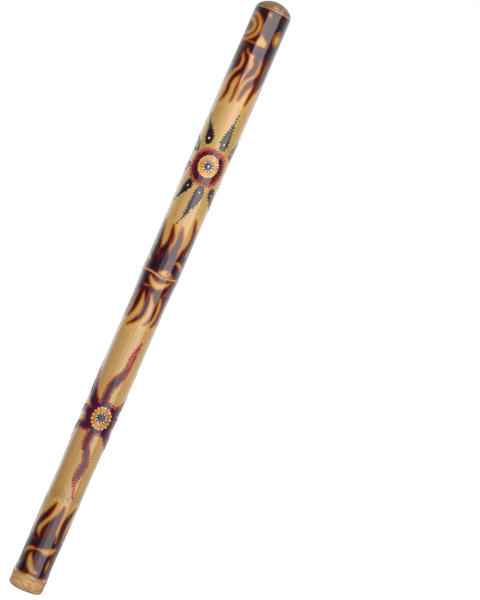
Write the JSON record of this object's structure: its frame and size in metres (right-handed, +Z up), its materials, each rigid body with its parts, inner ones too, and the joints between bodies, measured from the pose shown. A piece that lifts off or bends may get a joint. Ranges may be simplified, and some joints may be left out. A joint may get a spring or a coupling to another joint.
{
  "type": "rainstick",
  "caption": "Bamboo rainstick: burnt and dot-painted closed culm with a domed wooden cap, a helix of bamboo pins through its wall and loose pebbles that fall through them when it is tipped.",
  "frame": {"origin": "middle of the flat foot that the stick stands on", "axes": "+Z up along the stick, from its root end to the domed cap; the decoration that the picture shows faces -Y"},
  "size_m": [0.0608, 0.0608, 1],
  "materials": {
    "bamboo": "gloss",
    "cap_wood": "gloss",
    "pin_bamboo": "matte",
    "pebble_stone": "satin",
    "burnt_fill": "gloss",
    "paint_white": "gloss",
    "paint_gold": "gloss",
    "paint_red": "gloss",
    "paint_green": "gloss"
  },
  "bodies": {
    "stick": {"bamboo_culm": "bamboo", "top_cap": "cap_wood", "pin_turn_1": "pin_bamboo", "pin_turn_2": "pin_bamboo", "pin_turn_3": "pin_bamboo", "pin_turn_4": "pin_bamboo", "pin_turn_5": "pin_bamboo", "pin_turn_6": "pin_bamboo", "pin_turn_7": "pin_bamboo"},
    "pebble_column_01": {"pebble_column_01": "pebble_stone"},
    "pebble_column_02": {"pebble_column_02": "pebble_stone"},
    "pebble_column_03": {"pebble_column_03": "pebble_stone"},
    "pebble_column_04": {"pebble_column_04": "pebble_stone"},
    "pebble_column_05": {"pebble_column_05": "pebble_stone"},
    "pebble_column_06": {"pebble_column_06": "pebble_stone"},
    "pebble_column_07": {"pebble_column_07": "pebble_stone"},
    "pebble_column_08": {"pebble_column_08": "pebble_stone"},
    "pebble_column_09": {"pebble_column_09": "pebble_stone"},
    "pebble_column_10": {"pebble_column_10": "pebble_stone"},
    "pebble_column_11": {"pebble_column_11": "pebble_stone"},
    "pebble_column_12": {"pebble_column_12": "pebble_stone"},
    "core_pebbles": {"core_pebbles": "pebble_stone"}
  },
  "joints": [
    {"name": "column_01_fall", "type": "slide", "parent": "stick", "child": "pebble_column_01", "axis": [0, 0, 1], "range_m": [0, 0.8958]},
    {"name": "column_02_fall", "type": "slide", "parent": "stick", "child": "pebble_column_02", "axis": [0, 0, 1], "range_m": [0, 0.9002]},
    {"name": "column_03_fall", "type": "slide", "parent": "stick", "child": "pebble_column_03", "axis": [0, 0, 1], "range_m": [0, 0.8957]},
    {"name": "column_04_fall", "type": "slide", "parent": "stick", "child": "pebble_column_04", "axis": [0, 0, 1], "range_m": [0, 0.8982]},
    {"name": "column_05_fall", "type": "slide", "parent": "stick", "child": "pebble_column_05", "axis": [0, 0, 1], "range_m": [0, 0.8951]},
    {"name": "column_06_fall", "type": "slide", "parent": "stick", "child": "pebble_column_06", "axis": [0, 0, 1], "range_m": [0, 0.896]},
    {"name": "column_07_fall", "type": "slide", "parent": "stick", "child": "pebble_column_07", "axis": [0, 0, 1], "range_m": [0, 0.8979]},
    {"name": "column_08_fall", "type": "slide", "parent": "stick", "child": "pebble_column_08", "axis": [0, 0, 1], "range_m": [0, 0.8908]},
    {"name": "column_09_fall", "type": "slide", "parent": "stick", "child": "pebble_column_09", "axis": [0, 0, 1], "range_m": [0, 0.8964]},
    {"name": "column_10_fall", "type": "slide", "parent": "stick", "child": "pebble_column_10", "axis": [0, 0, 1], "range_m": [0, 0.8921]},
    {"name": "column_11_fall", "type": "slide", "parent": "stick", "child": "pebble_column_11", "axis": [0, 0, 1], "range_m": [0, 0.8946]},
    {"name": "column_12_fall", "type": "slide", "parent": "stick", "child": "pebble_column_12", "axis": [0, 0, 1], "range_m": [0, 0.8939]},
    {"name": "core_fall", "type": "slide", "parent": "stick", "child": "core_pebbles", "axis": [0, 0, 1], "range_m": [0, 0.0203]}
  ]
}
